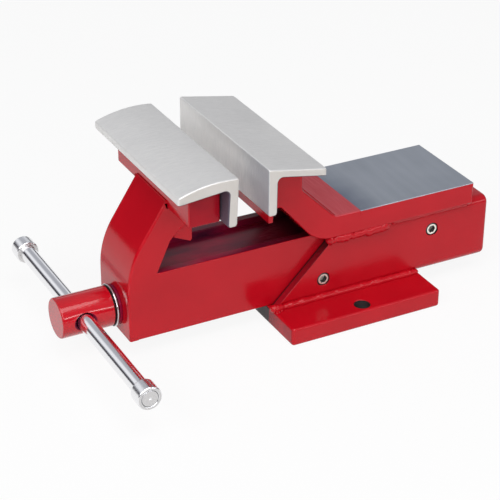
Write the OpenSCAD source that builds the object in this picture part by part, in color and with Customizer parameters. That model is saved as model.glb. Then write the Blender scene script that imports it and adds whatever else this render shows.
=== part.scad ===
// Welded steel bench vise with slip-on aluminium jaw covers.
// +X runs from the handle to the anvil, +Y is the far side, +Z is up.
// The origin is midway between the two base bolts, on the underside of the base.

/* [Base plate] */
// Length of the base plate along the vise
base_l = 144; // [120:1:180]
// Thickness of the base plate
base_t = 16; // [10:1:20]
// Distance between the two bolt holes
bolt_pitch = 125; // [112:1:150]
// Distance of each bolt hole's centre from the side edge of the base
bolt_edge = 10; // [9:0.5:16]
// Radius of the upright corners of the base plate
base_corner_r = 3; // [1:0.5:8]
// Diameter of a bolt hole
bolt_d = 14; // [11:0.5:16]

/* [Body] */
// Thickness of the side walls
wall_t = 8; // [6:0.5:10]
// Height of the side walls
wall_h = 58; // [54:0.5:64]
// Radius of the long outer edges of the walls
wall_edge_r = 7; // [2:0.5:7]
// Rear face of the body
body_rear_x = 141; // [135:1:155]
// Foot of the sloping front cut
cut_foot_x = -69; // [-71:1:-60]
// Slope of the front cut above the horizontal
cut_angle = 45; // [40:1:60]
// Thickness of the cap that closes the rear end
rear_cap_t = 12; // [8:1:14]
// Radius of the upright rear corners of the cap
cap_corner_r = 4; // [1:0.5:6]

/* [Anvil and fixed jaw] */
// Width of the anvil block and its jaw arm
anvil_w = 86; // [78:1:96]
// Height of the anvil above the walls
anvil_t = 20; // [16:1:26]
// Rear end of the anvil
anvil_rear_x = 120; // [110:1:130]
// Front edge of the ground anvil face
face_front_x = 7; // [0:1:20]
// Thickness of the ground anvil face
face_t = 4; // [2:0.5:6]
// Slope of the arm behind the jaw
arm_back_angle = 45; // [38:1:50]
// Fillet at the foot of the arm's back
arm_foot_r = 10; // [2:1:16]
// Slope of the underside of the arm
arm_under_angle = 50; // [45:1:56]
// Radius where the underside of the arm runs into the wall tops
arm_under_r = 32; // [20:1:40]
// Thickness of the arm behind the jaw plate
arm_l = 37.5; // [32:0.5:44]
// Height at which the upright back of the arm ends
arm_back_z = 125; // [118:1:132]
// Height of the underside of both jaws' noses
jaw_under_z = 114; // [108:1:118]
// Length of the fixed jaw plate across the vise
jaw_plate_l = 125; // [110:1:135]
// Thickness of the fixed jaw plate
jaw_plate_t = 4.2; // [3:0.2:8]

/* [Jaw covers] */
// Length of both covers across the vise
cover_l = 160; // [140:1:180]
// Height of the upper inner edge of the covers
cover_top_z = 169.5; // [166:0.5:174]
// Opening between the covers as the vise stands
cover_gap = 26.5; // [10:0.5:27]
// Outer face of the rear cover's leg
rear_cover_x = -98.5; // [-104:0.5:-96]
// Height of the legs
leg_h = 40.5; // [36:0.5:46]
// Thickness of the legs
leg_t = 8.2; // [6:0.2:10]
// Reach of the flanges over the jaws
flange_l = 51.5; // [46:0.5:56]
// Thickness of the rear flange
rear_flange_t = 6.6; // [5:0.2:9]
// Fall of the rear flange
rear_fall = 10.5; // [5:0.5:14]
// Fall of the underside of the front flange
front_fall = 5.5; // [2:0.5:8]
// Thickness of the front flange at the leg
front_flange_root_t = 8.2; // [6:0.2:10]
// Radius of the arched top of the front flange
front_arch_r = 105; // [90:1:200]
// Rise of the arch above the inner edge
front_arch_rise = 1; // [0:0.1:3]
// Lean of the front cover's leg
front_rake = 2.6; // [0:0.2:4]
// Taper of the rear cover's leg on its inner side
rear_draft = 0.8; // [0:0.2:3]
// Fillet inside the covers between leg and flange
cover_fillet_r = 4; // [1:0.5:6]
// Rounding of the feet of the legs
foot_r = 2.5; // [0.5:0.5:3.5]
// Sideways offset of the rear cover on its jaw
rear_cover_shift = 2; // [-4:0.5:4]

/* [Moving jaw] */
// Width of the sliding beam
beam_w = 58; // [54:0.5:60]
// Thickness of the plates of the moving jaw
plate_t = 8; // [6:0.5:10]
// Depth of the beam's top web below the side plates
web_recess = 5.5; // [3:0.5:10]
// Rear end of the beam as the vise stands
beam_rear_x = 102; // [80:1:102]
// Front face of the moving jaw
jaw_front_x = -198; // [-206:1:-190]
// Height at which the front face starts to curve back
curve_start_z = 60; // [50:1:66]
// Radius of the bend in the front plate
front_r = 75; // [60:1:90]
// Lean of the front plate above its bend
front_lean = 33; // [28:1:36]
// Top of the front plate, in front of the jaw block
front_top_z = 136; // [132:0.5:137]
// Length of the moving jaw block across the vise
block_l = 135; // [120:1:150]
// Thickness of the moving jaw block at its foot
block_t = 27; // [22:1:30]
// Underside of the moving jaw block
block_z = 129.3; // [126:0.1:132]
// Height at which the back of the arm bends forward under the jaw block
knee_z = 100; // [92:1:106]
// Distance of the gusset's rear face from the rear face of the jaw block
gusset_back = 5; // [2:0.5:10]
// Lowest point of the gusset
gusset_foot_z = 94.5; // [88:0.5:98]
// Rise of the gusset's underside towards the arm
gusset_rise = 6.5; // [2:0.5:10]
// Free clearance between beam and body at each side
side_gap = 0.5; // [0.3:0.1:1]
// Free clearance under the beam
under_gap = 0.3; // [0.3:0.1:0.6]
// Free clearance over the beam
over_gap = 0.5; // [0.3:0.1:1]

/* [Spindle] */
// Height of the spindle axis
spindle_z = 37.5; // [34:0.5:46]
// Diameter of the spindle
spindle_d = 20; // [16:1:24]
// Diameter of the spindle head
head_d = 34; // [30:1:38]
// Length of the spindle head
head_l = 45; // [40:1:50]
// Distance of the bar's axis from the outer end of the head
bar_setback = 19.5; // [16:0.5:24]
// Rounding of the outer end of the spindle head
head_r = 1.5; // [0.5:0.5:4]
// Depth of the flare at both mouths of the bar hole
flare = 2.6; // [0.5:0.2:4]
// Thickness of the steel thrust ring
thrust_t = 3.5; // [2:0.5:8]
// Height of the thrust boss on the front plate
boss_t = 2.4; // [1:0.2:6]
// End of the spindle inside the body
spindle_end_x = 85; // [60:1:95]
// Length of the bronze nut
nut_l = 36; // [30:1:44]
// Front face of the nut post
nut_x = -42; // [-50:1:-36]

/* [Tommy bar] */
// Diameter of the bar
bar_d = 14; // [12:0.5:16]
// Length of the bar over its end collars
bar_l = 265; // [220:1:300]
// Distance that the bar stands out towards the near side of centre
bar_shift = 6.5; // [-30:0.5:30]
// Diameter of the end collars
bar_collar_d = 20; // [17:0.5:24]
// Length of an end collar
bar_collar_l = 14; // [10:1:20]
// Chamfer at both ends of an end collar
bar_collar_c = 1.5; // [0.5:0.25:3]
// Play of the bar in its hole, all round
bar_play = 0.3; // [0.1:0.05:0.5]

/* [Wear adjusters] */
// Diameter of the socket set screws
screw_d = 12; // [10:1:14]
// Width of their hexagon sockets
hex_af = 6; // [5:0.5:8]
// Length of a set screw
screw_l = 6; // [4:0.5:6.5]
// Distance that a set screw stands below the wall face
screw_sink = 0.4; // [0:0.1:1]
// Place of the front adjuster along the vise
front_screw_x = -23.5; // [-40:0.5:-20]
// Height of the front adjuster
front_screw_z = 33.5; // [28:0.5:40]
// Place of the rear adjuster along the vise
rear_screw_x = 83.5; // [60:0.5:90]
// Height of the rear adjuster
rear_screw_z = 55; // [50:0.5:60]

/* [Hidden] */
$fn = 96;

fit = 0.05;         // radial running fit of shafts in bores
seat = 0.1;         // gap of a part that rests on its seat
eps = 0.01;         // overshoot of cutting shapes
big = 400;          // larger than the vise

base_w = bolt_pitch + 2 * bolt_edge;
wall_in_y = beam_w / 2 + side_gap;
wall_out_y = wall_in_y + wall_t;
wall_top_z = base_t + wall_h;
anvil_top_z = wall_top_z + anvil_t;
beam_bot_z = base_t + under_gap;
beam_top_z = wall_top_z - over_gap;
plate_in_y = beam_w / 2 - plate_t;
rear_cap_x = body_rear_x - rear_cap_t;
edge_r = min(wall_edge_r, wall_t - 1);

front_cover_x = rear_cover_x - cover_gap;
leg_foot_z = cover_top_z - leg_h;
jaw_plate_x = rear_cover_x + leg_t + seat;
arm_front_x = jaw_plate_x + jaw_plate_t;
arm_back_x = arm_front_x + arm_l;
arm_foot_x = arm_back_x + (arm_back_z - anvil_top_z) / tan(arm_back_angle);
nose_l = 18.5;      // level part of the arm's underside
under_turn_x = arm_front_x + nose_l;
under_foot_x = under_turn_x + (jaw_under_z - wall_top_z) / tan(arm_under_angle);

boss_x = jaw_front_x - boss_t;
thrust_x = boss_x - thrust_t;
ring_gap = 0.5;     // dark joint on each side of the thrust ring
head_x = thrust_x - head_l - ring_gap;
bar_x = head_x + bar_setback;
bar_hole_d = bar_d + 2 * bar_play;
bar_near_y = -bar_l / 2 - bar_shift;
bar_far_y = bar_near_y + bar_l;
socket_l = head_l - bar_setback - bar_d / 2 - 3;
thrust_d = head_d + 2;
collar_l = 10;      // retaining collar behind the front plate
collar_d = 34;
collar_x = jaw_front_x + plate_t + ring_gap;
collar_pin_d = 5;

block_rear_x = front_cover_x - leg_t - leg_h * tan(front_rake) - seat;
block_front_x = block_rear_x - block_t;
beam_corner_x = block_front_x - 10;
knee_x = block_front_x + 2;
relief = cover_fillet_r + 1;    // chamfer that clears the covers' fillets
web_z = beam_top_z - web_recess - plate_t;

post_w = 36;        // width of the nut post
nut_d = 28;
nut_flange_d = 33;
post_top_z = spindle_z + nut_d / 2 + 5;
nut_flange_t = 3;
nut_screw_d = 6;
nut_screw_l = 10;

pad_d = screw_d - 2;
pad_gap = 0.1;      // play between a pad and the beam
pad_t = wall_t - screw_sink - screw_l + side_gap - pad_gap - seat;

// Extrudes an outline drawn in X and Z over the width w, centred on y.
module across(w, y = 0) {
    translate([0, y, 0])
        rotate([90, 0, 0])
            linear_extrude(height = w, center = true)
                children();
}

// The waste between a sharp corner v and a fillet of radius r that touches
// the two edges, which leave v in the directions a and b.
module corner_waste(v, a, b, r) {
    half = abs(a - b) / 2;
    t = r / tan(half);
    mid = (a + b) / 2;
    c = v + r / sin(half) * [cos(mid), sin(mid)];
    difference() {
        polygon([v, v + t * [cos(a), sin(a)], c, v + t * [cos(b), sin(b)]]);
        translate(c) circle(r);
    }
}

// Points of the round of radius r on a corner v, from the edge that leaves v in
// the direction a to the one that leaves it in the direction b.
function bend(v, a, b, r) =
    let (
        half = abs(a - b) / 2,
        mid = (a + b) / 2,
        open = (90 - half) * sign(b - a),
        c = v + r / sin(half) * [cos(mid), sin(mid)]
    )
    [for (i = [-6 : 6])
        c + r * [cos(mid + 180 - open * i / 6), sin(mid + 180 - open * i / 6)]];

// A cylinder along X from x0 to x1 at the spindle's height.
module turned(x0, x1, d) {
    translate([x0, 0, spindle_z])
        rotate([0, 90, 0])
            cylinder(h = x1 - x0, d = d);
}

// A cylinder along Y from y0 to y1.
module peg(x, y0, y1, z, d) {
    translate([x, y1, z])
        rotate([90, 0, 0])
            cylinder(h = y1 - y0, d = d);
}

module base_plate() {
    x = base_l / 2;
    y = base_w / 2;
    color("firebrick")
        difference() {
            linear_extrude(height = base_t)
                difference() {
                    square([base_l, base_w], center = true);
                    corner_waste([-x, -y], 0, 90, base_corner_r);
                    corner_waste([x, -y], 180, 90, base_corner_r);
                    corner_waste([x, y], 180, 270, base_corner_r);
                    corner_waste([-x, y], 0, -90, base_corner_r);
                }
            for (side = [-1, 1])
                translate([0, side * bolt_pitch / 2, -eps])
                    cylinder(h = base_t + 2 * eps, d = bolt_d);
            translate([nut_x + nut_l / 2, 0, -eps])
                cylinder(h = base_t + 2 * eps, d = nut_screw_d + 2);
        }
}

// Extrudes an outline drawn in Y and Z from x0 to x1.
module along(x0, x1) {
    translate([x0, 0, 0])
        rotate([90, 0, 90])
            linear_extrude(height = x1 - x0)
                children();
}

// Outline of the body in Y and Z, with its long edges rounded.
module body_outline() {
    difference() {
        translate([-wall_out_y, base_t])
            square([2 * wall_out_y, wall_h]);
        corner_waste([-wall_out_y, base_t], 0, 90, edge_r);
        corner_waste([-wall_out_y, wall_top_z], 0, -90, edge_r);
        corner_waste([wall_out_y, base_t], 180, 90, edge_r);
        corner_waste([wall_out_y, wall_top_z], 180, 270, edge_r);
    }
}

// One side wall on the -Y side, cut to a slope at its front.
module wall() {
    cut_x = wall_h / tan(cut_angle);
    intersection() {
        across(wall_t, -(wall_in_y + wall_out_y) / 2)
            polygon([
                [cut_foot_x, base_t],
                [rear_cap_x, base_t],
                [rear_cap_x, wall_top_z],
                [cut_foot_x + cut_x, wall_top_z]
            ]);
        along(cut_foot_x - 1, body_rear_x)
            body_outline();
    }
}

module near_wall() {
    color("firebrick")
        difference() {
            wall();
            peg(front_screw_x, -wall_out_y - 1, -wall_in_y + 1, front_screw_z, screw_d + 2 * fit);
            peg(rear_screw_x, -wall_out_y - 1, -wall_in_y + 1, rear_screw_z, screw_d + 2 * fit);
        }
}

module far_wall() {
    color("firebrick")
        mirror([0, 1, 0])
            wall();
}

module rear_cap() {
    color("firebrick")
        intersection() {
            along(rear_cap_x, body_rear_x)
                body_outline();
            linear_extrude(height = wall_top_z + 1)
                difference() {
                    translate([rear_cap_x, -wall_out_y])
                        square([rear_cap_t, 2 * wall_out_y]);
                    corner_waste([body_rear_x, -wall_out_y], 180, 90, cap_corner_r);
                    corner_waste([body_rear_x, wall_out_y], 180, 270, cap_corner_r);
                }
        }
}

// The top of the arm, parallel to the rear flange that rests on it.
function arm_top(x) = cover_top_z - rear_flange_t / cos(rear_fall) - seat
    - (x - rear_cover_x) * tan(rear_fall);

module anvil_block() {
    color("firebrick")
        difference() {
            across(anvil_w) {
                difference() {
                    polygon([
                        [arm_front_x, jaw_under_z],
                        [under_turn_x, jaw_under_z],
                        [under_foot_x, wall_top_z],
                        [anvil_rear_x, wall_top_z],
                        [anvil_rear_x, anvil_top_z],
                        [arm_foot_x, anvil_top_z],
                        [arm_back_x, arm_back_z],
                        [arm_back_x, arm_top(arm_back_x)],
                        [arm_front_x, arm_top(arm_front_x)]
                    ]);
                    corner_waste([under_foot_x, wall_top_z], 180 - arm_under_angle, 0, arm_under_r);
                }
                corner_waste([arm_foot_x, anvil_top_z], 0, 180 - arm_back_angle, arm_foot_r);
            }
            translate([face_front_x, -big / 2, anvil_top_z - face_t])
                cube([big, big, big]);
        }
}

module anvil_face() {
    color("slategray")
        translate([face_front_x, -anvil_w / 2, anvil_top_z - face_t])
            cube([anvil_rear_x - face_front_x, anvil_w, face_t]);
}

module fixed_jaw_plate() {
    color("firebrick")
        across(jaw_plate_l)
            difference() {
                polygon([
                    [jaw_plate_x, jaw_under_z],
                    [arm_front_x, jaw_under_z],
                    [arm_front_x, arm_top(arm_front_x)],
                    [jaw_plate_x, arm_top(jaw_plate_x)]
                ]);
                polygon([
                    [jaw_plate_x, arm_top(jaw_plate_x) - relief],
                    [jaw_plate_x + relief, arm_top(jaw_plate_x + relief)],
                    [jaw_plate_x - relief, arm_top(jaw_plate_x) + relief]
                ]);
            }
}

module nut_post() {
    color("firebrick")
        difference() {
            translate([nut_x, -post_w / 2, base_t])
                cube([nut_l, post_w, post_top_z - base_t]);
            turned(nut_x - 1, nut_x + nut_l + 1, nut_d + 2 * fit);
            translate([nut_x + nut_l / 2, 0, base_t - eps])
                cylinder(h = spindle_z - base_t, d = nut_screw_d);
        }
}

module spindle_nut() {
    color("darkgoldenrod")
        difference() {
            union() {
                turned(nut_x, nut_x + nut_l, nut_d);
                turned(nut_x + nut_l, nut_x + nut_l + nut_flange_t, nut_flange_d);
            }
            turned(nut_x - 1, nut_x + nut_l + nut_flange_t + 1, spindle_d + 2 * fit);
            translate([nut_x + nut_l / 2, 0, spindle_z - nut_d / 2 - 1])
                cylinder(h = 4, d = nut_screw_d);
        }
}

// Socket set screw from below that stops the nut from turning.
module nut_screw() {
    top_z = spindle_z - nut_d / 2 + 2;
    color("dimgray")
        difference() {
            translate([nut_x + nut_l / 2, 0, top_z - nut_screw_l])
                cylinder(h = nut_screw_l, d = nut_screw_d);
            translate([nut_x + nut_l / 2, 0, top_z - nut_screw_l - eps])
                cylinder(h = 3, d = 3.4, $fn = 6);
        }
}

// A socket set screw in the near wall.
module adjuster(x, z) {
    y0 = -wall_out_y + screw_sink;
    color("gainsboro")
        difference() {
            peg(x, y0, y0 + screw_l, z, screw_d);
            translate([x, y0 + 4, z])
                rotate([90, 0, 0])
                    cylinder(h = 5, d = hex_af / cos(30), $fn = 6);
        }
}

// The brass pad that an adjuster presses on the beam.
module pad(x, z) {
    y0 = -wall_out_y + screw_sink + screw_l + seat;
    color("goldenrod")
        peg(x, y0, y0 + pad_t, z, pad_d);
}

module front_adjuster() {
    adjuster(front_screw_x, front_screw_z);
}

module rear_adjuster() {
    adjuster(rear_screw_x, rear_screw_z);
}

module front_pad() {
    pad(front_screw_x, front_screw_z);
}

module rear_pad() {
    pad(rear_screw_x, rear_screw_z);
}

// Everything behind the moving jaw's bent front, set back by inset from its
// outer face.
module jaw_front(inset) {
    r = front_r - inset;
    turns = [for (i = [0 : 24]) i * front_lean / 24];
    top = r * tan(front_lean / 2) + curve_start_z;
    polygon([
        [jaw_front_x + inset, beam_bot_z],
        for (turn = turns)
            [jaw_front_x + front_r - r * cos(turn), curve_start_z + r * sin(turn)],
        [jaw_front_x + inset + (front_top_z - top) * tan(front_lean), front_top_z],
        [beam_rear_x, front_top_z],
        [beam_rear_x, beam_bot_z]
    ]);
}

module front_plate() {
    color("firebrick")
        difference() {
            across(beam_w)
                difference() {
                    jaw_front(0);
                    jaw_front(plate_t);
                    translate([block_front_x, block_z])
                        square([60, 80]);
                }
            turned(jaw_front_x - 1, jaw_front_x + plate_t + 1, spindle_d + 2 * fit);
        }
}

// Outline of a side plate: the beam and the arm that rises to the jaw block.
module side_outline() {
    intersection() {
        jaw_front(plate_t);
        polygon([
            [jaw_front_x, beam_bot_z],
            [beam_rear_x, beam_bot_z],
            [beam_rear_x, beam_top_z],
            [beam_corner_x, beam_top_z],
            [knee_x, knee_z],
            [block_rear_x, knee_z + block_rear_x - knee_x],
            [block_rear_x, block_z],
            [jaw_front_x, block_z]
        ]);
    }
}

module near_side_plate() {
    color("firebrick")
        across(plate_t, -(beam_w - plate_t) / 2)
            side_outline();
}

module far_side_plate() {
    color("firebrick")
        across(plate_t, (beam_w - plate_t) / 2)
            side_outline();
}

module beam_web() {
    color("firebrick")
        across(2 * plate_in_y)
            intersection() {
                jaw_front(plate_t);
                translate([jaw_front_x, web_z])
                    square([beam_rear_x - jaw_front_x, plate_t]);
            }
}

// Underside of the front flange, which the jaw block's top follows.
function flange_under(x) = cover_top_z - front_flange_root_t
    - (front_cover_x - leg_t - x) * tan(front_fall);

module jaw_block() {
    color("firebrick")
        across(block_l)
            polygon([
                [block_front_x, block_z],
                [block_rear_x, block_z],
                [block_rear_x, flange_under(block_rear_x) - seat - relief],
                [block_rear_x - relief, flange_under(block_rear_x - relief) - seat],
                [block_front_x, flange_under(block_front_x) - seat]
            ]);
}

// The wedge under the jaw block behind the arm, notched around the side plates.
module jaw_gusset() {
    rear_x = block_rear_x - gusset_back;
    low_x = knee_x + 4;
    arm_z = knee_z + low_x - knee_x;
    color("firebrick")
        difference() {
            across(beam_w - plate_t / 2)
                polygon([
                    [low_x, arm_z + plate_t],
                    [low_x, gusset_foot_z + gusset_rise],
                    [rear_x - 1.5, gusset_foot_z],
                    [rear_x, gusset_foot_z + 1.5],
                    [rear_x, block_z],
                    [rear_x - plate_t, block_z]
                ]);
            for (side = [-1, 1])
                across(plate_t, side * (beam_w - plate_t) / 2)
                    side_outline();
        }
}

module thrust_boss() {
    color("firebrick")
        difference() {
            turned(boss_x, jaw_front_x, head_d);
            turned(boss_x - 1, jaw_front_x + 1, spindle_d + 2 * fit);
        }
}

// A solid of revolution about the spindle's axis. Its outline is drawn with
// the distance from the axis along X and the place along the vise along Y.
module lathed() {
    translate([0, 0, spindle_z])
        rotate([90, 0, 90])
            rotate_extrude()
                children();
}

// A solid of revolution about the bar's axis, drawn in the same way.
module bar_lathed() {
    translate([bar_x, 0, spindle_z])
        rotate([-90, 0, 0])
            rotate_extrude()
                children();
}

module spindle() {
    x0 = head_x + head_l - socket_l;
    color("silver")
        difference() {
            lathed()
                polygon([[0, x0], [spindle_d / 2, x0], [spindle_d / 2, spindle_end_x - 2],
                    [spindle_d / 2 - 2, spindle_end_x], [0, spindle_end_x]]);
            translate([collar_x + collar_l / 2, 0, spindle_z - collar_d])
                cylinder(h = 2 * collar_d, d = collar_pin_d);
        }
}

module spindle_head() {
    r = head_d / 2;
    color("firebrick")
        difference() {
            lathed()
                difference() {
                    translate([0, head_x])
                        square([r, head_l]);
                    corner_waste([r, head_x], 180, 90, head_r);
                }
            turned(head_x + head_l - socket_l, head_x + head_l + 1, spindle_d);
            bar_lathed() {
                translate([0, -head_d])
                    square([bar_hole_d / 2, 2 * head_d]);
                for (side = [-1, 1])
                    polygon([[0, side * (r - flare - bar_hole_d / 2)], [0, side * head_d],
                        [bar_hole_d / 2 + flare + head_d - r, side * head_d]]);
            }
        }
}

module thrust_ring() {
    color("gainsboro")
        difference() {
            turned(thrust_x, boss_x - ring_gap / 2, thrust_d);
            turned(thrust_x - 1, boss_x + 1, spindle_d);
        }
}

module retaining_collar() {
    color("gray")
        difference() {
            turned(collar_x, collar_x + collar_l, collar_d);
            turned(collar_x - 1, collar_x + collar_l + 1, spindle_d);
            translate([collar_x + collar_l / 2, 0, spindle_z - collar_d])
                cylinder(h = 2 * collar_d, d = collar_pin_d);
        }
}

module collar_pin() {
    pin_l = collar_d - 2;
    color("silver")
        translate([collar_x + collar_l / 2, 0, spindle_z - pin_l / 2])
            cylinder(h = pin_l, d = collar_pin_d);
}

module tommy_bar() {
    r = bar_d / 2;
    c = 0.5;
    color("gainsboro")
        bar_lathed()
            polygon([[0, bar_near_y], [r - c, bar_near_y], [r, bar_near_y + c],
                [r, bar_far_y - c], [r - c, bar_far_y], [0, bar_far_y]]);
}

// An end collar pressed on the bar, from y0 to y1.
module bar_collar(y0, y1) {
    r = bar_collar_d / 2;
    c = bar_collar_c;
    color("gainsboro")
        bar_lathed()
            polygon([[bar_d / 2, y0], [r - c, y0], [r, y0 + c],
                [r, y1 - c], [r - c, y1], [bar_d / 2, y1]]);
}

module near_bar_collar() {
    bar_collar(bar_near_y, bar_near_y + bar_collar_l);
}

module far_bar_collar() {
    bar_collar(bar_far_y - bar_collar_l, bar_far_y);
}

// Section of the front cover: a leaning leg and an arched flange.
module front_cover_outline() {
    x = front_cover_x;
    top_z = cover_top_z + front_arch_rise;
    foot_x = x - leg_h * tan(front_rake);
    tip_x = x - flange_l;
    crown_x = x - sqrt(pow(front_arch_r, 2) - pow(front_arch_r - front_arch_rise, 2));
    corner = [x - leg_t, flange_under(x - leg_t)];
    inner_rake = atan((x - foot_x) / (corner[1] - leg_foot_z));
    intersection() {
        translate([crown_x, top_z - front_arch_r])
            circle(front_arch_r, $fn = 360);
        polygon([
            [x, cover_top_z + 5],
            [x, cover_top_z],
            each bend([foot_x, leg_foot_z], 90 - front_rake, 180, foot_r),
            each bend([foot_x - leg_t, leg_foot_z], 0, 90 - inner_rake, foot_r),
            each bend(corner, 270 - inner_rake, 180 + front_fall, cover_fillet_r),
            [tip_x, flange_under(tip_x)],
            [tip_x, cover_top_z + 5]
        ]);
    }
}

module front_jaw_cover() {
    color("lightgray")
        across(cover_l)
            front_cover_outline();
}

// Section of the rear cover: a leg and a flange that falls to the rear.
module rear_cover_outline() {
    x = rear_cover_x;
    tip_x = x + flange_l;
    under_z = cover_top_z - rear_flange_t / cos(rear_fall);
    corner = [x + leg_t, under_z - leg_t * tan(rear_fall)];
    foot_x = corner[0] - (corner[1] - leg_foot_z) * tan(rear_draft);
    polygon([
        [x, cover_top_z],
        each bend([x, leg_foot_z], 90, 0, foot_r),
        each bend([foot_x, leg_foot_z], 180, 90 - rear_draft, foot_r),
        each bend(corner, -90 - rear_draft, -rear_fall, cover_fillet_r),
        [tip_x, under_z - flange_l * tan(rear_fall)],
        [tip_x, cover_top_z - flange_l * tan(rear_fall)]
    ]);
}

module rear_jaw_cover() {
    color("lightgray")
        across(cover_l, rear_cover_shift)
            rear_cover_outline();
}

base_plate();
near_wall();
far_wall();
rear_cap();
anvil_block();
anvil_face();
fixed_jaw_plate();
nut_post();
spindle_nut();
nut_screw();
front_adjuster();
rear_adjuster();
front_pad();
rear_pad();
front_plate();
near_side_plate();
far_side_plate();
beam_web();
jaw_block();
jaw_gusset();
thrust_boss();
spindle();
spindle_head();
thrust_ring();
retaining_collar();
collar_pin();
tommy_bar();
near_bar_collar();
far_bar_collar();
front_jaw_cover();
rear_jaw_cover();
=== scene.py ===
import math

import bmesh
import bpy
from mathutils import Matrix, Vector, noise


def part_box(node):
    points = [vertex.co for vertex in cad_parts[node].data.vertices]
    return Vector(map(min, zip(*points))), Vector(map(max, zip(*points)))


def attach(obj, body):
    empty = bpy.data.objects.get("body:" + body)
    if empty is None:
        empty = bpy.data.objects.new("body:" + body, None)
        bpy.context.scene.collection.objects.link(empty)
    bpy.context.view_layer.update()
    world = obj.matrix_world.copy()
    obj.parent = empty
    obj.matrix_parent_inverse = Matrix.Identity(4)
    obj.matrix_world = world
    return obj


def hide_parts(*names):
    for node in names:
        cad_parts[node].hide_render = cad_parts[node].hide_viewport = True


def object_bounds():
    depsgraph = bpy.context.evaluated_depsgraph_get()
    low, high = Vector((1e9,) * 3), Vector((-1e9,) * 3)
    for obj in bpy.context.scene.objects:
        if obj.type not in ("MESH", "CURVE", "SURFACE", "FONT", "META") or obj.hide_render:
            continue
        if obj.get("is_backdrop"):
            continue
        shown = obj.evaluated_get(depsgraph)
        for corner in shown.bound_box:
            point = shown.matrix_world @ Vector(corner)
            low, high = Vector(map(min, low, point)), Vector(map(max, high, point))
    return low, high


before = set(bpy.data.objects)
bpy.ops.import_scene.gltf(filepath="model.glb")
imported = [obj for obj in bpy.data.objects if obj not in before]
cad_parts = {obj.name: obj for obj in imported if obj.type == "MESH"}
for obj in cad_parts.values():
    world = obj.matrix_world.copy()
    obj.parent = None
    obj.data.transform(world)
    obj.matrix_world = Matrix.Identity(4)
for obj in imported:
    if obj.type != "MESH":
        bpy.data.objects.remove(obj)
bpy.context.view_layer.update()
MM = 0.001


# --- Camera -----------------------------------------------------------------
# A long lens at a little over a metre, from the handle end of the near side,
# looking down on the jaws.
look_from = Vector((-637.8, -1068.4, 722.5)) * MM
look_at = Vector((-73.7, 0.0, 55.9)) * MM
roll = math.radians(0.27)
camera = bpy.data.objects.new("camera", bpy.data.cameras.new("camera"))
bpy.context.scene.collection.objects.link(camera)
camera.data.lens = 118.4
camera.data.sensor_width = 36.0
camera.data.clip_start, camera.data.clip_end = 0.05, 60.0
camera.location = look_from
camera.rotation_mode = "QUATERNION"
camera.rotation_quaternion = (look_at - look_from).to_track_quat("-Z", "Y")
camera.rotation_quaternion @= Matrix.Rotation(roll, 3, "Z").to_quaternion()
bpy.context.scene.camera = camera
bpy.context.scene.view_settings.view_transform = "Standard"


# --- Bench top, lamps and room ----------------------------------------------
# A matt white sheet under the vise in a pale tent that is dark just above the
# horizon and brightest at the left, with broad soft boxes overhead, in front
# and at the left, and a strip at the right.
class Value:
    """The output of a shader node, with arithmetic that adds Math nodes."""

    def __init__(self, finish, socket):
        self.finish, self.socket = finish, socket

    def maths(self, operation, *terms):
        return self.finish.node("Math", {"operation": operation}, dict(enumerate(terms)))

    def __add__(self, other): return self.maths("ADD", self, other)
    def __radd__(self, other): return self.maths("ADD", other, self)
    def __sub__(self, other): return self.maths("SUBTRACT", self, other)
    def __rsub__(self, other): return self.maths("SUBTRACT", other, self)
    def __mul__(self, other): return self.maths("MULTIPLY", self, other)
    def __rmul__(self, other): return self.maths("MULTIPLY", other, self)

    def clamp(self):
        return self.maths("MINIMUM", self.maths("MAXIMUM", self, 0.0), 1.0)


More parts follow.
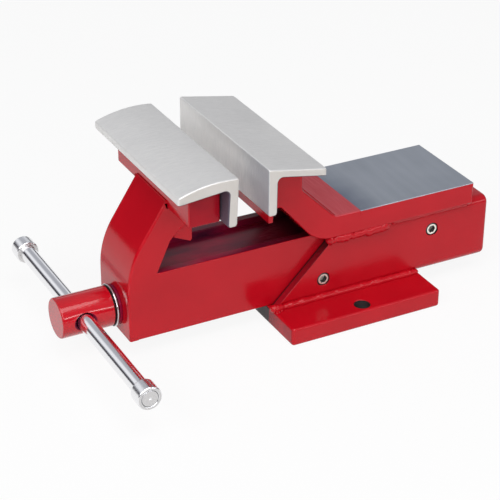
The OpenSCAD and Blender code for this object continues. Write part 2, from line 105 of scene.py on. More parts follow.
class Finish:
    """A material, or the room's own nodes: one method adds any node."""

    def __init__(self, name, owner=None):
        self.owner = owner or bpy.data.materials.new(name)
        self.owner.use_nodes = True
        self.tree = self.owner.node_tree
        self.tree.nodes.clear()

    def node(self, kind, settings=None, inputs=None, output=0):
        made = self.tree.nodes.new("ShaderNode" + kind)
        for key, value in (settings or {}).items():
            if key == "stops":
                stops = made.color_ramp.elements
                while len(stops) < len(value):
                    stops.new(1.0)
                for stop, (place, colour) in zip(stops, value):
                    stop.position, stop.color = place, (*colour, 1.0)
            else:
                setattr(made, key, value)
        for key, value in (inputs or {}).items():
            socket = made.inputs[key]
            if isinstance(value, Value):
                self.tree.links.new(value.socket, socket)
            elif socket.type == "RGBA" and len(value) == 3:
                socket.default_value = (*value, 1.0)
            else:
                socket.default_value = value
        return Value(self, made.outputs[output]) if made.outputs else None

    def between(self, share, first, second):
        """A colour that runs from first to second with share."""
        return self.node("Mix", {"data_type": "RGBA"},
                         {0: share, 6: first, 7: second}, output=2)

    def ramp(self, share, *stops):
        return self.node("ValToRGB", {"stops": stops}, {0: share})

    def place(self):
        """Where a point lies on the resting vise, in metres."""
        return self.node("TexCoord", output="Object")

    def coordinate(self, place, axis):
        """One coordinate of a place or a direction: 0 along the vise, 1 across, 2 up."""
        return self.node("SeparateXYZ", None, {0: place}, output=axis)

    def seen(self):
        """1 for the rays that see or mirror a thing, 0 for those that light others."""
        return (self.node("LightPath", output="Is Camera Ray")
                + self.node("LightPath", output="Is Glossy Ray")
                + self.node("LightPath", output="Is Transmission Ray")).clamp()

    def grain(self, place, scale, detail=2.0):
        return self.node("TexNoise", None, {"Vector": place, "Scale": scale, "Detail": detail})

    def stretched(self, place, scale, turn=(0.0, 0.0, 0.0)):
        """The place, turned and stretched, for brushed and ground finishes."""
        turned = self.node("Mapping", None, {"Vector": place,
                                             "Rotation": [math.radians(a) for a in turn]})
        return self.node("VectorMath", {"operation": "MULTIPLY"}, {0: turned, 1: scale})

    def bump(self, height, depth, normal=None):
        inputs = {"Height": height, "Distance": depth, "Strength": 1.0}
        if normal is not None:
            inputs["Normal"] = normal
        return self.node("Bump", None, inputs)

    def principled(self, **sockets):
        named = {key.replace("_", " "): value for key, value in sockets.items()}
        surface = self.node("BsdfPrincipled", None, named)
        self.node("OutputMaterial", None, {"Surface": surface})
        return self.owner


def add_piece(name, mesh, nodes=(), body=None, finish=None):
    """Puts a mesh in the scene for the CAD nodes that it stands for."""
    piece = bpy.data.objects.new(name, mesh)
    bpy.context.scene.collection.objects.link(piece)
    if finish is not None:
        mesh.materials.clear()
        mesh.materials.append(finish)
    if body is not None:
        if nodes:
            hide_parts(*nodes)
        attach(piece, body)
    return piece


sheet_radius, sheet_top = 14.0, -0.2 * MM
plain_white = 0.90  # the rest of what the sheet shows is lit, and keeps the shadow
sheet_shape = bmesh.new()
bmesh.ops.create_circle(sheet_shape, cap_ends=True, segments=96, radius=sheet_radius,
                        matrix=Matrix.Translation((0, 0, sheet_top)))
sheet_mesh = bpy.data.meshes.new("bench_sheet")
sheet_shape.to_mesh(sheet_mesh)
sheet_shape.free()
paper = Finish("white_sheet")
matt = paper.node("BsdfDiffuse", None, {"Color": (0.8, 0.8, 0.8)})
glow = paper.node("Emission", None, {"Color": (1.0, 1.0, 1.0), "Strength": 1.0})
paper.node("OutputMaterial", None, {
    "Surface": paper.node("MixShader", None, {0: paper.seen() * plain_white,
                                              1: matt, 2: glow})})
add_piece("bench_sheet", sheet_mesh, finish=paper.owner)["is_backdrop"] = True

room = Finish("room", bpy.data.worlds.new("room"))
bpy.context.scene.world = room.owner
fill_light = 0.30  # how strongly the tent itself lights the vise
looking = room.node("TexCoord", output="Generated")
height = room.coordinate(looking, 2) * 0.5 + 0.5
leftward = ((room.coordinate(looking, 0) + 0.05) * -5.0).clamp()
right_wall = room.ramp(height,
                       (0.0, (0.90, 0.90, 0.90)), (0.495, (0.62, 0.62, 0.63)),
                       (0.505, (0.06, 0.055, 0.065)), (0.58, (0.08, 0.075, 0.09)),
                       (0.62, (0.50, 0.51, 0.54)), (0.655, (0.88, 0.89, 0.92)),
                       (0.70, (0.84, 0.85, 0.88)), (0.74, (0.40, 0.41, 0.45)),
                       (1.0, (0.58, 0.59, 0.62)))
left_wall = room.ramp(height,
                      (0.0, (0.90, 0.90, 0.90)), (0.495, (0.62, 0.62, 0.63)),
                      (0.505, (0.06, 0.055, 0.065)), (0.615, (0.07, 0.065, 0.08)),
                      (0.66, (0.40, 0.41, 0.44)), (0.69, (0.96, 0.97, 1.0)),
                      (0.79, (0.92, 0.93, 0.96)), (0.85, (0.50, 0.51, 0.54)),
                      (1.0, (0.58, 0.59, 0.62)))
walls = room.between(leftward, right_wall, left_wall)
room.node("OutputWorld", None, {"Surface": room.node("MixShader", None, {
    0: room.seen(),
    1: room.node("Background", None, {"Color": walls, "Strength": fill_light}),
    2: room.node("Background", None, {"Color": walls, "Strength": 1.0})})})


def soft_box(name, direction, distance, wide, high, watts):
    """A rectangular lamp that faces the middle of the vise."""
    lamp = bpy.data.lights.new(name, "AREA")
    lamp.shape, lamp.size, lamp.size_y, lamp.energy = "RECTANGLE", wide, high, watts
    vise_middle = Vector((-0.04, 0.0, 0.08))
    box = bpy.data.objects.new(name, lamp)
    box.location = vise_middle + Vector(direction).normalized() * distance
    box.rotation_mode = "QUATERNION"
    box.rotation_quaternion = (vise_middle - box.location).to_track_quat("-Z", "Y")
    bpy.context.scene.collection.objects.link(box)


soft_box("overhead_box", (-0.10, -0.45, 1.0), 2.2, 1.6, 1.2, 24.0)
soft_box("front_box", (-0.50, -0.80, 0.50), 2.2, 1.6, 1.0, 16.5)
soft_box("left_box", (-0.95, -0.28, 0.72), 2.2, 1.2, 0.9, 15.5)
soft_box("right_strip", (0.41, -0.86, 0.31), 1.6, 1.2, 0.13, 4.6)


# --- Moving jaw: front plate and side plates --------------------------------
# A plate bent round the front, welded to two side plates that run back as the
# slide beam. Those welds are ground flush, so the three read as one piece.
def settle(piece):
    """Applies the piece's modifiers to its mesh."""
    ready = piece.evaluated_get(bpy.context.evaluated_depsgraph_get())
    mesh = bpy.data.meshes.new_from_object(ready)
    piece.modifiers.clear()
    old, piece.data = piece.data, mesh
    bpy.data.meshes.remove(old)


same_point = 0.03 * MM
same_face, eased_corner, hard_corner = (math.radians(angle) for angle in (0.6, 25.0, 35.0))


def whole_faces(name, mesh, ease, special):
    """A clean copy of a mesh with whole flat faces, each edge marked with its ease."""
    shape = bmesh.new()
    shape.from_mesh(mesh)
    bmesh.ops.remove_doubles(shape, verts=shape.verts, dist=same_point)
    bmesh.ops.dissolve_degenerate(shape, edges=shape.edges, dist=same_point)
    bmesh.ops.dissolve_limit(shape, angle_limit=same_face,
                             verts=shape.verts, edges=shape.edges)
    shape.verts.index_update()
    clean = bpy.data.meshes.new(name)
    clean.from_pydata([v.co[:] for v in shape.verts], [],
                      [[v.index for v in face.verts] for face in shape.faces])
    shape.clear()
    shape.from_mesh(clean)
    mark = shape.edges.layers.float.new("bevel_weight_edge")
    widest = 0.0
    for edge in shape.edges:
        if len(edge.link_faces) == 2 and edge.calc_face_angle() > eased_corner:
            start, end = (v.co / MM for v in edge.verts)
            wanted = special and special((start + end) / 2, (end - start).normalized())
            edge[mark] = ease if wanted is None else wanted
            widest = max(widest, edge[mark])
    for edge in shape.edges:
        edge[mark] = edge[mark] / widest if widest else 0.0
    shape.to_mesh(clean)
    shape.free()
    return clean, widest


def shade(piece):
    """Smooth shading that keeps flat faces flat up to their eased edges."""
    piece.data.shade_smooth()
    piece.data.set_sharp_from_angle(angle=hard_corner)
    level = piece.modifiers.new("level", "WEIGHTED_NORMAL")
    level.keep_sharp, level.weight = True, 80
    settle(piece)


def dressed(name, node, body, finish, ease=0.8, steps=3, special=None):
    """A piece from its CAD solid, its edges eased by ease, or by special(middle, along)."""
    piece = bpy.data.objects.new(name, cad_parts[node].data.copy())
    bpy.context.scene.collection.objects.link(piece)
    piece.data, widest = whole_faces(name, piece.data, ease, special)
    if widest:
        edge = piece.modifiers.new("ease", "BEVEL")
        edge.width, edge.segments, edge.limit_method = widest * MM, steps, "WEIGHT"
        edge.miter_outer, edge.use_clamp_overlap = "MITER_ARC", False
        edge.loop_slide = False
        settle(piece)
    shade(piece)
    piece.data.name = name
    piece.data.materials.clear()
    piece.data.materials.append(finish)
    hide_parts(node)
    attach(piece, body)
    return piece


def face_finish(piece, finish, belongs):
    """Gives a second finish to the faces whose middle and direction belong to it."""
    piece.data.materials.append(finish)
    for face in piece.data.polygons:
        if belongs(face.center / MM, face.normal):
            face.material_index = len(piece.data.materials) - 1


# Stoved enamel: thick and glossy, with a faint orange peel. The screw's head,
# at the front, has a clear coat over it, and the body is sprayed a little drier.
enamel_red, enamel_deep = (0.485, 0.003, 0.011), (0.425, 0.002, 0.009)
head_rear, drier_from = -0.2035, -0.085
enamel = Finish("red_enamel")
place = enamel.place()
along_vise = enamel.coordinate(place, 0)
cloud = enamel.grain(place, 24.0, 3.0)
swell = enamel.grain(place, 70.0, 1.0)
peel = enamel.grain(place, 420.0, 2.0)
fleck = enamel.grain(place, 1500.0, 1.0)
red_enamel = enamel.principled(
    Base_Color=enamel.between(((cloud - 0.3) * 2.0).clamp(), enamel_deep, enamel_red),
    Roughness=0.09 + cloud * 0.08 + ((along_vise - drier_from) * 30.0).clamp() * 0.09,
    IOR=1.36, Coat_Weight=((head_rear - along_vise) * 900.0).clamp() * 0.35,
    Coat_Roughness=0.04,
    Normal=enamel.bump(swell, 0.12 * MM,
                       enamel.bump(peel, 0.05 * MM, enamel.bump(fleck, 0.003 * MM))))

# Enamel with painted shade: near black towards the rear under the fixed jaw, in
# the crevice by the beam and on the base's front under the beam, and purple in
# the half shade as a painted reflection of the room.
shade_paint = Finish("painted_shade_enamel")
place = shade_paint.place()
along_beam = shade_paint.coordinate(place, 0)
across = shade_paint.coordinate(place, 1)
# Painted shadow on the base's front under the beam, deepest near the middle.
base_front_shadow = ((0.02 - shade_paint.coordinate(place, 2)) * 100.0).clamp()
shade_patches = shade_paint.grain(shade_paint.stretched(place, (14.0, 40.0, 30.0)), 1.0, 3.0)
shade_streaks = shade_paint.grain(shade_paint.stretched(place, (60.0, 700.0, 300.0)), 1.0, 3.0)
# The beam's side lies 29 mm from the middle, just past the first of these
# squares, and the crevice beside it ends at 31 mm, at the second.
beam_side_squared, crevice_end_squared = 0.0008, 0.00098
outside = ((across * across - beam_side_squared) * 60000.0).clamp()
# A painted shadow line in the crevice between the beam and the body's wall.
crevice_shadow = ((crevice_end_squared - across * across) * 14000.0).clamp() * outside
# thick is the share of painted shade: more towards the rear, in the crevice and on the base's
# front, less on the outside faces.
thick = (along_beam * 13.0 + 1.25 - outside * 0.38 + crevice_shadow * 1.2 + (shade_patches - 0.5) * 0.8
         + base_front_shadow * (0.9 - across * across * 330.0)).clamp()
painted_shade_enamel = shade_paint.principled(
    Base_Color=shade_paint.between(thick, shade_paint.between(
        ((shade_patches - 0.35) * 2.6 + shade_streaks * 0.3 + outside * 0.6).clamp(), (0.06, 0.005, 0.022),
        shade_paint.between(outside, (0.34, 0.003, 0.036), (0.33, 0.003, 0.012))),
        (0.010, 0.003, 0.005)),
    Roughness=0.16 + shade_streaks * 0.12 + thick * 0.1, IOR=1.27,
    Normal=shade_paint.bump(shade_streaks, 0.03 * MM))


bend_x, bend_z, bend_radius, full_lean = -123.0, 60.0, 75.0, math.radians(33.0)
plate_thick, plate_side = 8.0, 29.0


def depth_in(spot):
    """How far behind the bent front's outer face a point of its side lies."""
    forward, above = bend_x - spot.x, spot.z - bend_z
    lean = math.atan2(above, forward)
    if lean <= 0.0:
        return bend_radius - forward
    if lean < full_lean:
        return bend_radius - math.hypot(forward, above)
    return bend_radius - Vector((forward, above)).dot(
        Vector((math.cos(full_lean), math.sin(full_lean))))


def front_plate_ease(middle, along):
    """Its outer rims are well rounded; the side plates meet its inner rims flush."""
    if abs(middle.y) > plate_side - 0.5 and abs(along.y) < 0.2:
        return 2.2 if depth_in(middle) < plate_thick / 2 else 0.0
    return 0.6


def side_plate_ease(middle, along):
    """Eased, but flush where it meets the bent plate."""
    return 0.0 if depth_in(middle) < plate_thick + 0.5 else 0.8


dressed("bent_front_plate", "front_plate", "moving_jaw", red_enamel,
        special=front_plate_ease)
for which in ("near", "far"):
    side = dressed(which + "_beam_side", which + "_side_plate", "moving_jaw",
                   red_enamel, special=side_plate_ease)
    # Painted shade on the side plates' inner faces and on their top rims under the jaws.
    face_finish(side, painted_shade_enamel, lambda middle, facing:
                abs(middle.y) < plate_side - plate_thick + 0.3
                or facing.z > 0.9 and middle.z < 90.0)


# --- Moving jaw: web, block, gusset and boss --------------------------------
# Flame-cut plates welded inside and on top of the frame; the boss is a disc
# that the screw's thrust ring runs against.
# The web is painted with shade all over, deep in the channel under the jaws.
dressed("beam_top_web", "beam_web", "moving_jaw", painted_shade_enamel, ease=0.5)
block = dressed("jaw_backing_block", "jaw_block", "moving_jaw", red_enamel,
                ease=1.6)
# Painted shade on the block's ends, under the covers' overhang.
face_finish(block, painted_shade_enamel, lambda middle, facing: abs(facing.y) > 0.9)
dressed("jaw_gusset_plate", "jaw_gusset", "moving_jaw", red_enamel, ease=0.6)
# The boss gets painted shade too, darker and purple-tinged behind the screw's head.
dressed("front_boss", "thrust_boss", "moving_jaw", painted_shade_enamel, ease=0.5)


# --- Body: channel and base -------------------------------------------------
# A channel with rounded edges, closed at the rear by a cap whose weld is ground
# flush, standing on a thick base plate with a bolt hole on each side. The bolt
# holes' walls are painted near black, as painted shade deep in the holes.
# Near black with tool marks: painted shade for deep holes, gaps and sockets.
bore_shade = Finish("painted_dark_bore")
place = bore_shade.place()
tool_mark = bore_shade.grain(bore_shade.stretched(place, (60.0, 60.0, 1800.0)), 1.0, 2.0)
painted_dark_bore = bore_shade.principled(
    Base_Color=bore_shade.between(tool_mark, (0.012, 0.009, 0.010), (0.030, 0.022, 0.022)),
    Roughness=0.42 + tool_mark * 0.2, Normal=bore_shade.bump(tool_mark, 0.05 * MM))


def box_in_mm(node):
    """The low and the high corner of a CAD node's box, in mm."""
    return [Vector(corner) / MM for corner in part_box(node)]


bolt_y, bolt_radius = 62.5, 7.0
nut_screw_x = -24.0


def base_ease(middle, along):
    """Well rounded outside, and nearly sharp round its holes."""
    if math.hypot(middle.x, abs(middle.y) - bolt_y) < bolt_radius + 1.0:
        return 0.5
    return 0.4 if math.hypot(middle.x - nut_screw_x, middle.y) < 8.0 else 2.2


def finished_shape(name, shape, finish):
    """Turns a bmesh into a smooth mesh with its faces turned outwards."""
    bmesh.ops.recalc_face_normals(shape, faces=shape.faces)
    mesh = bpy.data.meshes.new(name)
    shape.to_mesh(mesh)
    shape.free()
    mesh.materials.append(finish)
    mesh.shade_smooth()
    mesh.set_sharp_from_angle(angle=hard_corner)
    return mesh


cap_low, cap_high = box_in_mm("rear_cap")
for which in ("near", "far"):
    wall = dressed(which + "_channel_wall", which + "_wall", "body", red_enamel,
                   special=lambda middle, along: 0.0 if middle.x > cap_low.x - 0.1 else 0.5)
    # Painted shade on the walls' inner faces and on their sloped front cuts beside the beam.
    face_finish(wall, painted_shade_enamel, lambda middle, facing:
                abs(middle.y) < 29.7 or facing.x < -0.3 and facing.z > 0.1)
long_round, rear_round = 6.9 * MM, 3.6 * MM
cap_shape = bmesh.new()
bmesh.ops.create_cube(cap_shape, size=1.0)
for corner in cap_shape.verts:
    corner.co = Vector((cap_low[k] if corner.co[k] < 0 else cap_high[k])
                       for k in range(3)) * MM
bmesh.ops.bevel(cap_shape, affect="EDGES", profile=0.5, segments=10, offset=long_round,
                geom=[edge for edge in cap_shape.edges
                      if abs((edge.verts[0].co - edge.verts[1].co).x) > 1 * MM])
bmesh.ops.bevel(cap_shape, affect="EDGES", profile=0.5, segments=6, offset=rear_round,
                geom=[edge for edge in cap_shape.edges
                      if all(v.co.x > (cap_high.x - 0.01) * MM for v in edge.verts)])
add_piece("channel_rear_cap", finished_shape("channel_rear_cap", cap_shape, red_enamel),
          ["rear_cap"], "body")
base = dressed("bolt_down_base", "base_plate", "body", red_enamel,
               special=base_ease)
# Painted shade: the bolt holes' walls are near black.
face_finish(base, painted_dark_bore, lambda middle, facing: abs(facing.z) < 0.3
            and math.hypot(middle.x, abs(middle.y) - bolt_y) < bolt_radius)
# Painted shade on the base's front face, under the beam.
face_finish(base, painted_shade_enamel, lambda middle, facing: middle.x < -71.5 and facing.x < -0.9)
dressed("nut_carrier", "nut_post", "body", red_enamel, ease=0.8)


# --- Body: anvil, arm and jaw plate -----------------------------------------
# One forging makes the anvil and the raked arm; the jaw's backing plate is
# welded to the arm's face. The enamel before the anvil's face is rubbed dull and
# rough by the grinding, and painted lighter pink there and on its rounded rim as a
# painted sheen and highlight.
def anvil_ease(middle, along):
    """Rounded, but flush with the ground face where that is let in."""
    return 0.0 if middle.x > 6.0 and middle.z > 89.0 else 1.6


anvil_body = dressed("anvil_and_arm", "anvil_block", "body", red_enamel,
                     special=anvil_ease)
rubbed_sheen = Finish("rubbed_sheen_enamel")
place = rubbed_sheen.place()
rub = rubbed_sheen.grain(rubbed_sheen.stretched(place, (1400.0, 50.0, 1400.0)), 1.0, 3.0)
# Painted sheen: the lighter pink base colour stands for light on the rubbed strip.
rubbed_sheen_enamel = rubbed_sheen.principled(
    Base_Color=rubbed_sheen.between(((rub - 0.35) * 2.0).clamp(),
                              (0.44, 0.022, 0.034), (0.56, 0.10, 0.12)),
    Roughness=0.30 + rub * 0.12, IOR=1.40, Normal=rubbed_sheen.bump(rub, 0.02 * MM))
# The strip before the anvil's face, with its rounded rim for a painted highlight.
face_finish(anvil_body, rubbed_sheen_enamel, lambda middle, facing:
            92.9 < middle.z < 94.5 and middle.x < 8.0 and facing.z > 0.45 and facing.x > -0.6)
dressed("fixed_backing_plate", "fixed_jaw_plate", "body", red_enamel, ease=0.8)


# --- Anvil face -------------------------------------------------------------
# Let into the anvil and enamelled with it, then surface ground on the skew, so
# only its top is bare steel.
ground = Finish("ground_steel")
place = ground.place()
askew = (0, 0, 2)
scratch = ground.grain(ground.stretched(place, (2600.0, 60.0, 60.0), askew), 1.0, 3.0)
pass_line = ground.grain(ground.stretched(place, (150.0, 9.0, 9.0), askew), 1.0, 3.0)
haze = ground.grain(place, 26.0, 2.0)
forward = (0.030 - ground.coordinate(place, 0)) * 40.0
near_side = (0.75 - ground.coordinate(place, 1) * 9.0).clamp()
dark_end = (forward + (haze - 0.5) * 1.2).clamp() * near_side
clouded = ((haze * 0.5 + pass_line * 0.5 - 0.5) * 1.5 + 0.50).clamp()
ground_steel = ground.principled(
    Base_Color=ground.between(
        dark_end, ground.between(clouded, (0.355, 0.385, 0.43), (0.48, 0.51, 0.555)),
        (0.17, 0.195, 0.26)),
    Metallic=1.0,
    Roughness=0.28 + scratch * 0.12 + pass_line * 0.06,
    Normal=ground.bump(scratch, 0.015 * MM))


def anvil_face_ease(middle, along):
    """Eased at its rim and corners, and flush with the anvil at its foot."""
    if middle.z < 90.1 and abs(along.z) < 0.5:
        return 0.0
    return 0.8 if middle.z > 93.9 else 0.9


anvil_top = dressed("ground_anvil_face", "anvil_face", "body", red_enamel,
                    special=anvil_face_ease)
face_finish(anvil_top, ground_steel, lambda middle, facing: middle.z > 93.1 and facing.z > 0.1)


# --- Jaw covers -------------------------------------------------------------
# Loose angle covers cast in aluminium and linished by hand across their width,
# with sawn ends. Each hangs over a jaw and lifts off.
cast = Finish("cast_aluminium")
place = cast.place()
linished = cast.grain(cast.stretched(place, (130.0, 480.0, 130.0), (0, 0, 6)), 1.0, 2.0)
brushed = cast.grain(cast.stretched(place, (240.0, 2200.0, 900.0), (0, 0, -4)), 1.0, 3.0)
patch = cast.grain(place, 26.0, 2.0)
facing = cast.node("TexCoord", output="Normal")
sideways = cast.coordinate(facing, 1)
sawn = ((sideways * sideways - 0.5) * 3.0).clamp()
faces_front = ((cast.coordinate(facing, 0) + 0.4) * -2.0).clamp()
on_rear_cover = ((cast.coordinate(place, 0) + 0.13) * 200.0).clamp()
near_half = ((0.008 - cast.coordinate(place, 1)) * 8.5 + (patch - 0.5) * 1.2).clamp()
# Painted dark reflection and shade on the rear cover's leg face, darker towards its near end.
rear_leg_shade = faces_front * on_rear_cover * near_half
bright = (patch * 0.4 + brushed * 0.3 + linished * 0.5 - 0.1 - rear_leg_shade * 0.9).clamp()
cast_aluminium = cast.principled(
    Base_Color=cast.between(
        sawn,
        cast.between(bright, cast.between(rear_leg_shade, (0.61, 0.605, 0.60), (0.36, 0.37, 0.41)),
                     (0.81, 0.80, 0.785)),
        cast.between(patch, (0.52, 0.49, 0.46), (0.64, 0.61, 0.58))),
    Metallic=0.45,
    Roughness=0.34 + brushed * 0.16,
    Normal=cast.bump(linished, 0.34 * MM, cast.bump(brushed, 0.05 * MM)))
# The faces that look at the jaw are painted dark and purplish, as painted shade in the gap by
# the jaw, with a sandy grain.
inner_shade = Finish("inner_face_shade")
sand = inner_shade.grain(inner_shade.place(), 900.0, 3.0)
inner_face_shade = inner_shade.principled(
    Base_Color=inner_shade.between(sand, (0.045, 0.030, 0.052), (0.16, 0.13, 0.17)), Metallic=0.3,
    Roughness=0.5 + sand * 0.2, Normal=inner_shade.bump(sand, 0.10 * MM))
# Each leg hangs from a cover's inner edge; inward is the way from leg to jaw.
jaws_middle, under_top = -112.0, 145.0
for which, inward, leg, far_end in (("front", -1, -133.0, 80.0), ("rear", 1, -90.5, 82.0)):
    def cover_ease(middle, along, far_end=far_end):
        """The far end and the outer corners are rounded the most."""
        outer_corner = abs(along.z) > 0.99 and abs(middle.x - jaws_middle) > 64.0
        return 2.2 if middle.y > far_end - 0.1 or outer_corner else 1.4

    def inside(middle, facing, inward=inward, leg=leg):
        """The faces that look at the jaw: the leg's inner face and the top's under side."""
        behind_leg = (middle.x - leg) * inward
        return (facing.x * inward > 0.3 and behind_leg < 6.0
                or facing.z < -0.3 and middle.z > under_top and behind_leg > -1.0)

    cover = dressed(which + "_cover_casting", which + "_jaw_cover", which + "_cover",
                    cast_aluminium, steps=4, special=cover_ease)
    face_finish(cover, inner_face_shade, inside)


# --- Spindle and its head ---------------------------------------------------
# A screw with a trapezoidal thread, 20 mm across with a 4 mm pitch. Its head is
# a turned drum, enamelled, with a flared cross hole for the bar.
polished = Finish("turned_steel")
lathe_line = polished.grain(
    polished.stretched(polished.place(), (5000.0, 40.0, 40.0)), 1.0, 2.0)
turned_steel = polished.principled(
    Base_Color=(0.60, 0.60, 0.61), Metallic=1.0,
    Roughness=0.18 + lathe_line * 0.12,
    Normal=polished.bump(lathe_line, 0.01 * MM))
drum = dressed("spindle_drum", "spindle_head", "screw", red_enamel, ease=0.7)
bar_low, bar_high = box_in_mm("tommy_bar")
hub = (bar_low + bar_high) / 2
flare_radius, bore_radius, inside_drum = 12.0, 8.3, 16.7


def from_bar(spot):
    return math.hypot(spot.x - hub.x, spot.z - hub.z)


# Painted shade round the mouth of the bar's hole, and near black painted shade inside the bore.
face_finish(drum, painted_shade_enamel, lambda middle, facing: from_bar(middle) < flare_radius
            and math.hypot(middle.y, middle.z - hub.z) < inside_drum)
face_finish(drum, painted_dark_bore, lambda middle, facing:
            abs(facing.y) < 0.5 and from_bar(middle) < bore_radius)
dressed("shaft_collar", "retaining_collar", "screw", turned_steel, ease=0.8)
dressed("shaft_collar_pin", "collar_pin", "screw", turned_steel, ease=0.4)


def swept(shape, rings, closed_ends=True):
    """Skins a row of rings of points, in mm, and closes both ends if asked to."""
    loops = [[shape.verts.new(point * MM) for point in ring] for ring in rings]
    for first, second in zip(loops, loops[1:]):
        for k in range(len(first)):
            shape.faces.new((first[k - 1], first[k], second[k], second[k - 1]))
    if closed_ends:
        shape.faces.new(loops[0])
        shape.faces.new(loops[-1][::-1])


def turned_rings(profile, centre, along=0, steps=64):
    """Rings along one axis from the (place, radius) steps of a lathe profile."""
    rings = []
    for spot, radius in profile:
        ring = [Vector(centre) for _ in range(steps)]
        for turn, point in enumerate(ring):
            point[along] = spot
            point[(along + 1) % 3] += radius * math.cos(turn * math.tau / steps)
            point[(along + 2) % 3] += radius * math.sin(turn * math.tau / steps)
        rings.append(ring)
    return rings


def turned_piece(name, node, body, finish, profile, along=0, hollow=False):
    """A lathe-turned piece on the axis of its CAD node; hollow closes it round a bore."""
    low, high = box_in_mm(node)
    shape = bmesh.new()
    rings = turned_rings(profile(low[along], high[along]), (low + high) / 2, along, 96)
    swept(shape, rings + rings[:1] if hollow else rings, not hollow)
    bmesh.ops.remove_doubles(shape, verts=shape.verts, dist=0.001 * MM)
    piece = add_piece(name, finished_shape(name, shape, finish), [node], body)
    shade(piece)
    return piece


def washer_profile(low, high):
    return [(low + 0.1, 10.2), (low + 0.1, 14.2), (low + 0.7, 14.5), (low + 0.75, 17.5),
            (low + 1.0, 17.9), (low + 1.3, 18.0), (high - 1.2, 18.0), (high - 0.9, 17.9),
            (high - 0.7, 17.5), (high - 0.65, 14.5), (high, 14.2), (high, 10.2)]


washer = turned_piece("thrust_washer", "thrust_ring", "screw", turned_steel,
                      washer_profile, hollow=True)
# Painted shade: near the shaft the washer is painted near black, for the dark gaps either side
# of it.
face_finish(washer, painted_dark_bore, lambda middle, facing:
            math.hypot(middle.y, middle.z - hub.z) < 17.3)
shaft_low, shaft_high = box_in_mm("spindle")
axis = (shaft_low + shaft_high) / 2
crest, root, pitch = 9.95, 7.75, 4.0
thread_start, thread_end = -178.5, shaft_high.x - 3.0
shaft_shape = bmesh.new()
swept(shaft_shape, turned_rings([
    (shaft_low.x, 9.2), (shaft_low.x + 0.8, crest), (thread_start, crest),
    (thread_start + 0.9, root), (thread_end + 0.6, root), (shaft_high.x - 0.8, root),
    (shaft_high.x, root - 0.8)], axis))
# The thread's ridge: a trapezoid carried round in steps, fading out at both ends.
ridge = []
steps_a_turn, foot_half, crest_half = 32, 1.32, 0.75
sunk = root - 0.5
turns = (thread_end - thread_start - 2.5) / pitch
for step in range(int(turns * steps_a_turn) + 1):
    turned = step / steps_a_turn
    run_out = min(1.0, turned * 2.0, (turns - turned) * 2.0)
    top = root - 0.4 + (crest - root + 0.4) * max(run_out, 0.0)
    angle = math.tau * turned
    spoke = Vector((0.0, math.cos(angle), math.sin(angle)))
    middle_x = thread_start + 2.2 + pitch * turned
    ridge.append([Vector((middle_x + dx, axis.y, axis.z)) + spoke * radius
                  for dx, radius in ((-foot_half, sunk), (-crest_half, top),
                                     (crest_half, top), (foot_half, sunk))])
swept(shaft_shape, ridge)
add_piece("screw_shaft", finished_shape("screw_shaft", shaft_shape, turned_steel),
          ["spindle"], "screw")


# --- Nut, its locking screw, adjusters and pads -----------------------------
# A bronze nut in the post, held by a set screw from below; two socket set
# screws press bronze pads on the beam to take up play.
bronze = Finish("bearing_bronze")
bearing_bronze = bronze.principled(
    Base_Color=(0.62, 0.36, 0.13), Metallic=1.0,
    Roughness=0.3 + bronze.grain(bronze.place(), 200.0) * 0.15)
zinc = Finish("zinc_plate")
place = zinc.place()
zinc_plate = zinc.principled(
    Base_Color=zinc.between(zinc.grain(place, 300.0), (0.82, 0.76, 0.66), (0.90, 0.86, 0.80)),
    Metallic=0.8, Roughness=0.26 + zinc.grain(place, 900.0) * 0.1)
dressed("bronze_nut", "spindle_nut", "body", bearing_bronze, ease=0.5)
dressed("nut_locking_screw", "nut_screw", "body", zinc_plate, ease=0.2)
# Outside the bright ring and in the socket the screw is painted near black, as painted shade in
# the gap round it and in the socket.
bright_ring = 4.75  # mm: outside it and in the socket, the screw is blacked
for which in ("front", "rear"):
    low, high = box_in_mm(which + "_adjuster")

    def off_axis(spot, axis=(low + high) / 2):
        return math.hypot(spot.x - axis.x, spot.z - axis.z)

    def screw_ease(middle, along, face=low.y, off_axis=off_axis):
        """A wide chamfer round the outer end."""
        return 1.3 if middle.y < face + 0.1 and off_axis(middle) > 5.5 else 0.25

    play_screw = dressed(which + "_play_screw", which + "_adjuster", "body",
                         zinc_plate, special=screw_ease)
    # Painted shade on the screw's chamfer and in its socket.
    face_finish(play_screw, painted_dark_bore, lambda middle, facing, off_axis=off_axis:
                facing.y > -0.93 or off_axis(middle) > bright_ring)
    dressed(which + "_bronze_pad", which + "_pad", "body", bearing_bronze, ease=0.3)


# --- Tommy bar --------------------------------------------------------------
# Polished and chromed bar that slides in the head, with a collar pressed on
# each end. The bar's turned end shows in the collar, with a centre mark; the
# ends are faced off, not polished.
plating = Finish("chrome_plate")
place = plating.place()
draw_line = plating.grain(plating.stretched(place, (500.0, 12.0, 500.0)), 1.0, 2.0)
sideways = plating.coordinate(plating.node("TexCoord", output="Normal"), 1)
end_face = ((sideways * sideways - 0.7) * 5.0).clamp()
pitted = plating.grain(place, 900.0, 2.0)
# The collars start 118.5 mm from the bar's middle.
off_middle, collar_start_squared = plating.coordinate(place, 1) + 0.0065, 0.01404
on_collar = ((off_middle * off_middle - collar_start_squared) * 4000.0).clamp()
chrome_plate = plating.principled(
    Base_Color=plating.between(
        end_face, (0.86, 0.86, 0.875),
        plating.between(pitted, (0.50, 0.49, 0.49), (0.78, 0.77, 0.77))),
    Metallic=1.0,
    Roughness=0.11 + draw_line * 0.07 + end_face * 0.20 + on_collar * 0.08,
    Normal=plating.bump(draw_line, 0.006 * MM))


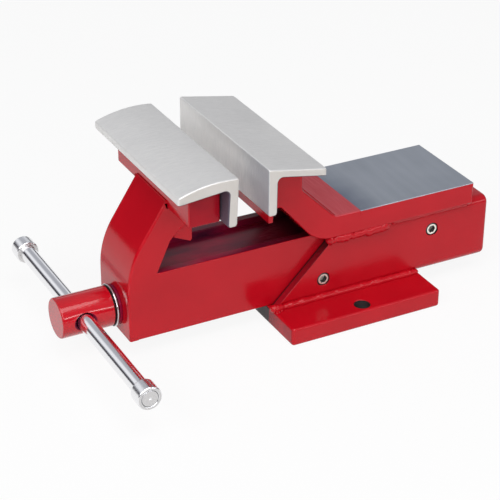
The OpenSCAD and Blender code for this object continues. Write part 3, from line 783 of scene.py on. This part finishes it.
def bar_profile(low, high):
    """Down to a turned end with a centre mark, the same at both ends."""
    end = [(0.9, 0.05), (0.15, 1.1), (0.15, 6.2), (0.3, 6.6), (0.8, 6.75), (1.2, 7.0)]
    return ([(low + inset, radius) for inset, radius in end]
            + [(high - inset, radius) for inset, radius in end[::-1]])


turned_piece("chromed_bar", "tommy_bar", "bar", chrome_plate, bar_profile, along=1)
for which, inwards in (("near", 1), ("far", -1)):
    def collar_profile(low, high, inwards=inwards):
        """From the bore over the well rounded outer rim to the inner one and back."""
        outer, inner = (low, high)[::inwards]
        outer_rim = [(0.5, 7.05), (0.15, 7.3), (0.0, 7.7), (0.0, 8.7), (0.25, 9.35),
                     (0.7, 9.8), (1.3, 10.0)]
        inner_rim = [(1.1, 10.0), (0.5, 9.8), (0.1, 9.3), (0.0, 8.9), (0.0, 7.05)]
        return ([(outer + inwards * inset, radius) for inset, radius in outer_rim]
                + [(inner - inwards * inset, radius) for inset, radius in inner_rim])

    turned_piece(which + "_bar_end", which + "_bar_collar", "bar", chrome_plate,
                 collar_profile, along=1, hollow=True)


# --- Welds ------------------------------------------------------------------
# Hand-laid fillet welds under the enamel: each bead is a rippled rope of metal
# that half sinks into the corner it fills.
def weld_bead(name, body, points, thick, seed, ripple=0.05, wander=0.30, swell=0.34,
              taper=3.0):
    """A bead along a line of points: thick is its radius, and it rounds off over taper."""
    spacing, sides, scallop_pitch, smoothing = 0.7, 14, 2.4, 3
    route = [Vector(point) for point in points]
    stations = []
    for start, end in zip(route, route[1:]):
        count = max(1, round((end - start).length / spacing))
        stations += [start.lerp(end, k / count) for k in range(count)]
    stations.append(route[-1])
    for _ in range(smoothing):
        stations = [stations[0]] + [(a + b * 2 + c) / 4 for a, b, c in zip(
            stations, stations[1:], stations[2:])] + [stations[-1]]
    length = sum((b - a).length for a, b in zip(stations, stations[1:]))
    rings, run, side = [], 0.0, Vector((0.31, 0.52, 0.79))
    for k, spot in enumerate(stations):
        if k:
            run += (spot - stations[k - 1]).length
        ahead = (stations[min(k + 1, len(stations) - 1)] - stations[max(k - 1, 0)]).normalized()
        side = (side - ahead * side.dot(ahead)).normalized()
        across = ahead.cross(side)
        slow = noise.noise((run * 0.11, seed * 7.3, 0.0))
        quick = noise.noise((run * 0.45, seed * 3.1, 5.0))
        scallop = abs(((run + quick * 1.6) / scallop_pitch) % 1.0 - 0.5) * 2.0
        ends = math.sqrt(max(0.04, min(1.0, run / taper, (length - run) / taper)))
        lively = 0.4 + 1.1 * math.exp(-min(run, length - run) / 7.0)
        radius = thick * ends * (
            1.0 + slow * swell + (quick * 0.22 + (scallop - 0.5) * ripple) * lively)
        centre = spot + side * (quick * wander) + across * (slow * wander)
        rings.append([centre + (side * math.cos(turn * math.tau / sides)
                                + across * math.sin(turn * math.tau / sides)) * radius
                      for turn in range(sides)])
    shape = bmesh.new()
    swept(shape, rings)
    return add_piece(name, finished_shape(name, shape, red_enamel), (), body)


# A line's points are (along the vise, out from its middle, up), in mm.
for side, name in ((-1, "near"), (1, "far")):
    def line(*points, side=side):
        return [(x, side * out, z) for x, out, z in points]

    weld_bead(name + "_base_weld", "body",
              line((-70.6, 33.5, 17.2), (-70.4, 37.6, 17.4), (-67.0, 38.3, 17.3),
                   (-50.0, 38.0, 17.3), (0.0, 37.8, 17.2), (68.0, 38.0, 17.2),
                   (71.2, 38.0, 17.0)),
              3.2, 1.0 + side, ripple=0.03, wander=0.2)
    weld_bead(name + "_anvil_weld", "body",
              line((-23.0, 38.8, 71.0), (-6.0, 39.4, 71.4), (14.0, 39.6, 71.2),
                   (40.0, 38.8, 72.3)),
              4.5, 4.0 + side, ripple=0.12, wander=1.5, swell=0.8)
    weld_bead(name + "_anvil_seam", "body",
              line((40.0, 38.2, 73.0), (80.0, 38.1, 73.1), (119.0, 38.0, 73.1)),
              2.7, 8.0 + side, ripple=0.02, wander=0.15)
    weld_bead(name + "_anvil_rear_weld", "body",
              line((120.3, 31.8, 74.5), (120.3, 36.5, 74.5)), 1.7, 24.0 + side, taper=1.5)
    weld_bead(name + "_plate_weld", "body",
              line((-85.6, 43.3, 118.0), (-85.6, 43.4, 150.0)), 2.2, 12.0 + side)
    weld_bead(name + "_gusset_weld", "moving_jaw",
              line((-153.5, 27.5, 106.5), (-147.0, 27.6, 113.0), (-141.5, 27.6, 119.0),
                   (-140.6, 27.6, 127.5)), 1.9, 16.0 + side)
    weld_bead(name + "_block_weld", "moving_jaw",
              line((-161.0, 29.2, 129.6), (-150.0, 29.3, 129.2), (-138.0, 29.2, 129.2)),
              1.9, 20.0 + side)
    # Drops of spatter in loose rows beside the base weld's front end.
    spatter, drops, a_row = bmesh.new(), 9, 4
    for k in range(drops):
        drop = Vector((-69.5 + 2.3 * (k % a_row), side * (39.5 + 1.9 * (k // a_row)), 16.2))
        drop += Vector((noise.noise((k * 1.7, side, 2.0)),
                        noise.noise((k * 2.3, side, 7.0)), 0.0)) * 2.0
        bmesh.ops.create_icosphere(spatter, subdivisions=2, matrix=Matrix.Translation(drop * MM),
                                   radius=(0.7 + 0.12 * (k * 5 % 7)) * MM)
    add_piece(name + "_spatter", finished_shape(name + "_spatter", spatter, red_enamel), (),
              "body")


# --- Size -------------------------------------------------------------------
# The dressed vise's box, over all shown pieces but the sheet.
low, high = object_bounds()
